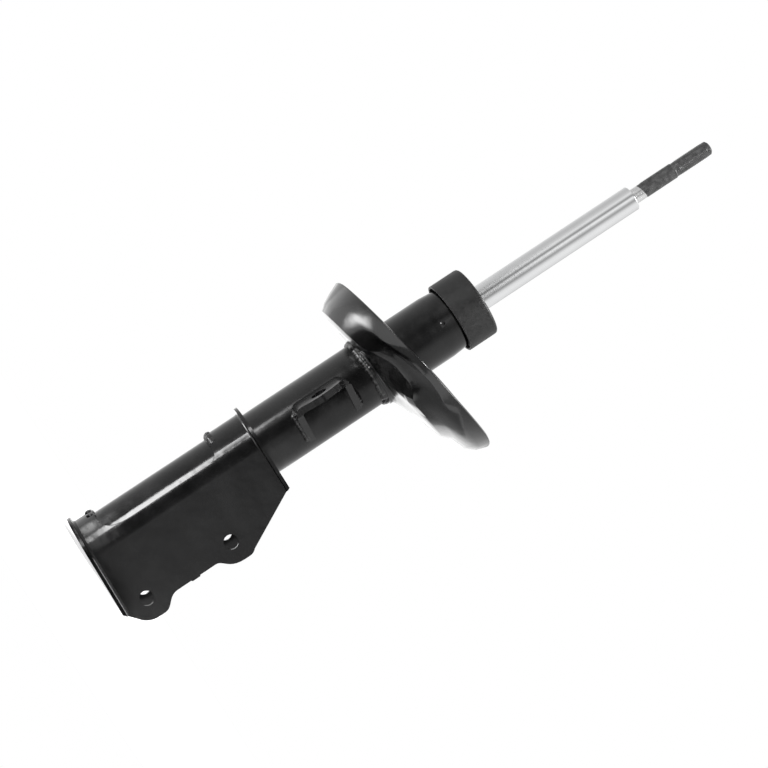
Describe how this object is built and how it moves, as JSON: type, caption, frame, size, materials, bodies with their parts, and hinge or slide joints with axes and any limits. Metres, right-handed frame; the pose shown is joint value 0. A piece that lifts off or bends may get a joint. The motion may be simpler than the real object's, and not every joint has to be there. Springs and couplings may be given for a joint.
{
  "type": "macpherson strut assembly",
  "caption": "Twin-tube MacPherson strut with chromed rod, threaded stub, end cap, inclined spring seat, sway bar link bracket and flanged clevis bracket.",
  "frame": {"origin": "on the strut axis, at the centre of the base cup's flat underside", "axes": "+Z along the rod towards its threaded end, +X towards the clevis ears, +Y square to both"},
  "size_m": [0.166, 0.166, 0.5666],
  "materials": {
    "black_paint": "gloss black paint over steel",
    "painted_weld": "gloss black paint over rough weld bead",
    "cap_plastic": "matte dark grey moulded plastic",
    "hard_chrome": "ground and hard-chromed rod with a phosphated stub",
    "bright_steel": "bright machined steel",
    "sintered_iron": "sintered iron",
    "bronze_lining": "bronze bearing lining",
    "black_rubber": "black nitrile rubber",
    "band_plastic": "filled low-friction plastic"
  },
  "bodies": {
    "strut": {"reserve_tube": "black_paint", "base_cup": "black_paint", "clevis_bracket": "black_paint", "bracket_weld_lower": "painted_weld", "bracket_weld_upper": "painted_weld", "link_bracket": "black_paint", "link_weld_lower": "painted_weld", "link_weld_upper": "painted_weld", "spring_seat": "black_paint", "seat_weld_1": "painted_weld", "seat_weld_2": "painted_weld", "seat_weld_3": "painted_weld", "pressure_tube": "bright_steel", "base_valve_body": "sintered_iron", "base_valve_discs": "bright_steel", "check_plate": "bright_steel", "check_spring": "bright_steel", "base_valve_pin": "bright_steel", "rod_guide": "sintered_iron", "guide_bush": "bronze_lining", "guide_ring": "black_rubber", "rod_seal": "black_rubber", "seal_retainer": "bright_steel", "end_cap": "cap_plastic"},
    "band": {"piston_band": "band_plastic"},
    "rod": {"piston_rod": "hard_chrome", "rebound_bumper": "black_rubber", "rebound_stop_ring": "bright_steel", "upper_valve_washer": "bright_steel", "compression_shims": "bright_steel", "piston": "sintered_iron", "rebound_shims": "bright_steel", "lower_valve_washer": "bright_steel", "piston_nut": "bright_steel"}
  },
  "joints": [
    {"name": "rod_slide", "type": "slide", "parent": "strut", "child": "band", "axis": [0, 0, 1], "range_m": [-0.135, 0], "stiffness_N_per_m": 120, "springref_m": 1.2},
    {"name": "rod_turn", "type": "hinge", "parent": "band", "child": "rod", "pos_m": [0, 0, 0.35], "axis": [0, 0, 1], "continuous": true}
  ]
}
